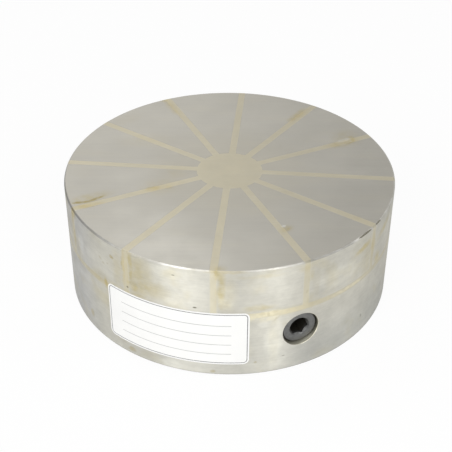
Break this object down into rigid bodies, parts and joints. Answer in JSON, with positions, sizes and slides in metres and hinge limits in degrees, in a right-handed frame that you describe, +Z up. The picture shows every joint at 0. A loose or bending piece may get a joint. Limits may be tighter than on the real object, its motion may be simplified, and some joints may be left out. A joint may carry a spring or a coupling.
{
  "type": "magnetic chuck",
  "caption": "Round permanent magnetic chuck with radial poles set in resin, switched by a hex key in its side.",
  "frame": {"origin": "centre of the base face's circle, on the axis that the work face and the rotor share", "axes": "+Z up out of the work face; -Y out of the key's bore"},
  "size_m": [0.16, 0.16, 0.06],
  "materials": {
    "ground_steel": "surface ground, faint one-way grain, stained in places",
    "turned_steel": "fine turned, faint rings, stained in places",
    "resin": "cast tan resin, ground flush",
    "stainless_steel": "machined",
    "black_screws": "black oxide",
    "aluminium": "turned",
    "bronze": "turned bearing bronze",
    "soft_iron": "milled",
    "nickel_plate": "nickel plated",
    "blackened_steel": "blackened, satin",
    "seal_rubber": "moulded",
    "label": "white film with a thin grey border, no lettering"
  },
  "bodies": {
    "chuck_body": {"housing": "turned_steel", "resin_grid": "resin", "seam_ring": "resin", "pole_01": "ground_steel", "pole_02": "ground_steel", "pole_03": "ground_steel", "pole_04": "ground_steel", "pole_05": "ground_steel", "pole_06": "ground_steel", "pole_07": "ground_steel", "pole_08": "ground_steel", "pole_09": "ground_steel", "pole_10": "ground_steel", "pole_11": "ground_steel", "pole_12": "ground_steel", "pole_screws": "stainless_steel", "centre_post": "aluminium", "post_screw": "stainless_steel", "thrust_washer": "bronze", "stop_pin": "stainless_steel", "key_bush": "bronze", "label": "label"},
    "rotor": {"rotor_carrier": "aluminium", "rotor_wedge_01": "soft_iron", "rotor_wedge_02": "soft_iron", "rotor_wedge_03": "soft_iron", "rotor_wedge_04": "soft_iron", "rotor_wedge_05": "soft_iron", "rotor_wedge_06": "soft_iron", "rotor_wedge_07": "soft_iron", "rotor_wedge_08": "soft_iron", "rotor_wedge_09": "soft_iron", "rotor_wedge_10": "soft_iron", "rotor_wedge_11": "soft_iron", "rotor_wedge_12": "soft_iron", "magnet_01": "nickel_plate", "magnet_02": "nickel_plate", "magnet_03": "nickel_plate", "magnet_04": "nickel_plate", "magnet_05": "nickel_plate", "magnet_06": "nickel_plate", "magnet_07": "nickel_plate", "magnet_08": "nickel_plate", "magnet_09": "nickel_plate", "magnet_10": "nickel_plate", "magnet_11": "nickel_plate", "magnet_12": "nickel_plate", "rotor_band": "stainless_steel", "rotor_bush": "bronze", "wedge_screws": "black_screws", "toothed_segment": "soft_iron", "segment_screws": "black_screws"},
    "key": {"key_shaft": "blackened_steel", "key_seal": "seal_rubber", "key_circlip": "stainless_steel"}
  },
  "joints": [
    {"name": "rotor_turn", "type": "hinge", "parent": "chuck_body", "child": "rotor", "pos_m": [0, 0, 0.02], "axis": [0, 0, 1], "range_deg": [-15, 0]},
    {"name": "key_turn", "type": "hinge", "parent": "chuck_body", "child": "key", "pos_m": [0, -0.07, 0.022], "axis": [0, 1, 0], "range_deg": [0, 180]}
  ],
  "couplings": [
    {"joint": "key_turn", "follows": "rotor_turn", "ratio": -12}
  ]
}
